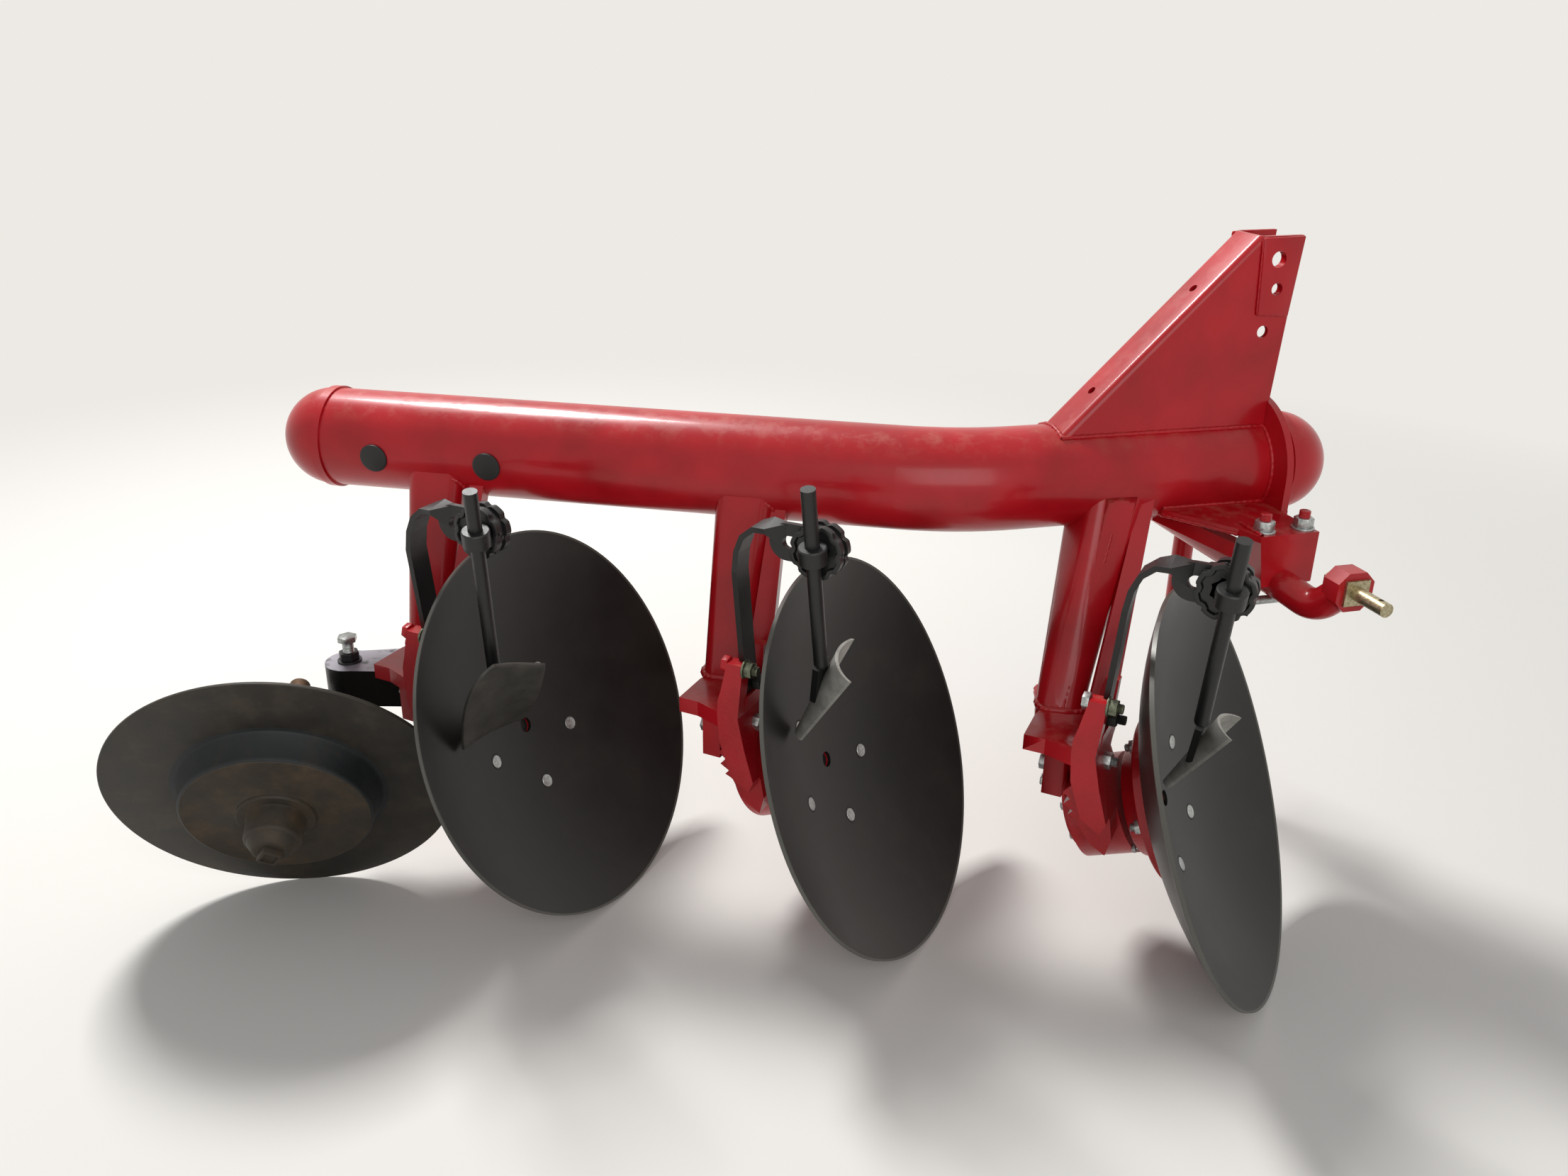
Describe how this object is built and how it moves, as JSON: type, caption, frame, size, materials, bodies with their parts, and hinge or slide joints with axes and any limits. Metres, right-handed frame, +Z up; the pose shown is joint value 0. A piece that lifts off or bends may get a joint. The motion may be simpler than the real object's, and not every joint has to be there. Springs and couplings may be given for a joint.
{
  "type": "disc plough",
  "caption": "Mounted tubular-beam disc plough with dished discs on toothed hub castings, scrapers, furrow wheel, three-point hitch and parking leg.",
  "frame": {"origin": "middle of the bounding box on the ground", "axes": "+X forward along the rear straight of the beam, +Y to the land side, +Z up"},
  "size_m": [1.9428, 1.1148, 1.118],
  "materials": {
    "bare_steel": "satin",
    "black_paint": "satin",
    "black_plastic": "matte",
    "disc_steel": "satin",
    "red_paint": "gloss",
    "rusty_steel": "matte",
    "yellow_zinc": "satin",
    "zinc": "satin"
  },
  "bodies": {
    "frame": {"beam_tube": "red_paint", "rear_cap": "red_paint", "front_cap": "red_paint", "front_collar": "red_paint", "tube_plugs": "black_plastic", "mast_plate_near": "red_paint", "mast_plate_far": "red_paint", "mast_spine": "red_paint", "hitch_bracket_near": "red_paint", "hitch_bracket_far": "red_paint", "shaft_clamp_near": "zinc", "shaft_clamp_far": "zinc", "lower_pin_near": "yellow_zinc", "lower_pin_far": "yellow_zinc", "cross_shaft": "red_paint", "strut": "red_paint", "stand_sleeve": "red_paint", "housing_rear": "red_paint", "standard_rear": "red_paint", "brace_rear": "red_paint", "scraper_arm_rear": "black_paint", "scraper_clamp_rear": "black_paint", "scraper_blade_rear": "bare_steel", "scraper_stem_rear": "black_paint", "housing_middle": "red_paint", "standard_middle": "red_paint", "brace_middle": "red_paint", "scraper_arm_middle": "black_paint", "scraper_clamp_middle": "black_paint", "scraper_blade_middle": "bare_steel", "scraper_stem_middle": "black_paint", "housing_front": "red_paint", "standard_front": "red_paint", "brace_front": "red_paint", "scraper_arm_front": "black_paint", "scraper_clamp_front": "black_paint", "scraper_blade_front": "bare_steel", "scraper_stem_front": "black_paint", "wheel_axle": "rusty_steel", "wheel_arm": "black_paint", "wheel_knuckle": "black_paint", "wheel_pivot": "zinc"},
    "rear_disc": {"disc_rear": "disc_steel", "hub_rear": "red_paint"},
    "middle_disc": {"disc_middle": "disc_steel", "hub_middle": "red_paint"},
    "front_disc": {"disc_front": "disc_steel", "hub_front": "red_paint"},
    "land_wheel": {"furrow_wheel": "disc_steel"},
    "parking_leg": {"stand_leg": "red_paint"}
  },
  "joints": [
    {"name": "rear_disc_turn", "type": "hinge", "parent": "frame", "child": "rear_disc", "pos_m": [-0.30613, -0.18608, 0.308], "axis": [0.8941, -0.2379, 0.3795], "continuous": true},
    {"name": "middle_disc_turn", "type": "hinge", "parent": "frame", "child": "middle_disc", "pos_m": [0.23087, -0.18608, 0.308], "axis": [0.8941, -0.2379, 0.3795], "continuous": true},
    {"name": "front_disc_turn", "type": "hinge", "parent": "frame", "child": "front_disc", "pos_m": [0.78287, -0.18608, 0.308], "axis": [0.8941, -0.2379, 0.3795], "continuous": true},
    {"name": "furrow_wheel_turn", "type": "hinge", "parent": "frame", "child": "land_wheel", "pos_m": [-0.71113, -0.41808, 0.25017], "axis": [0.3008, -0.8645, -0.4028], "continuous": true},
    {"name": "parking_leg_lift", "type": "slide", "parent": "frame", "child": "parking_leg", "axis": [0, 0, 1], "range_m": [0, 0.35]}
  ]
}
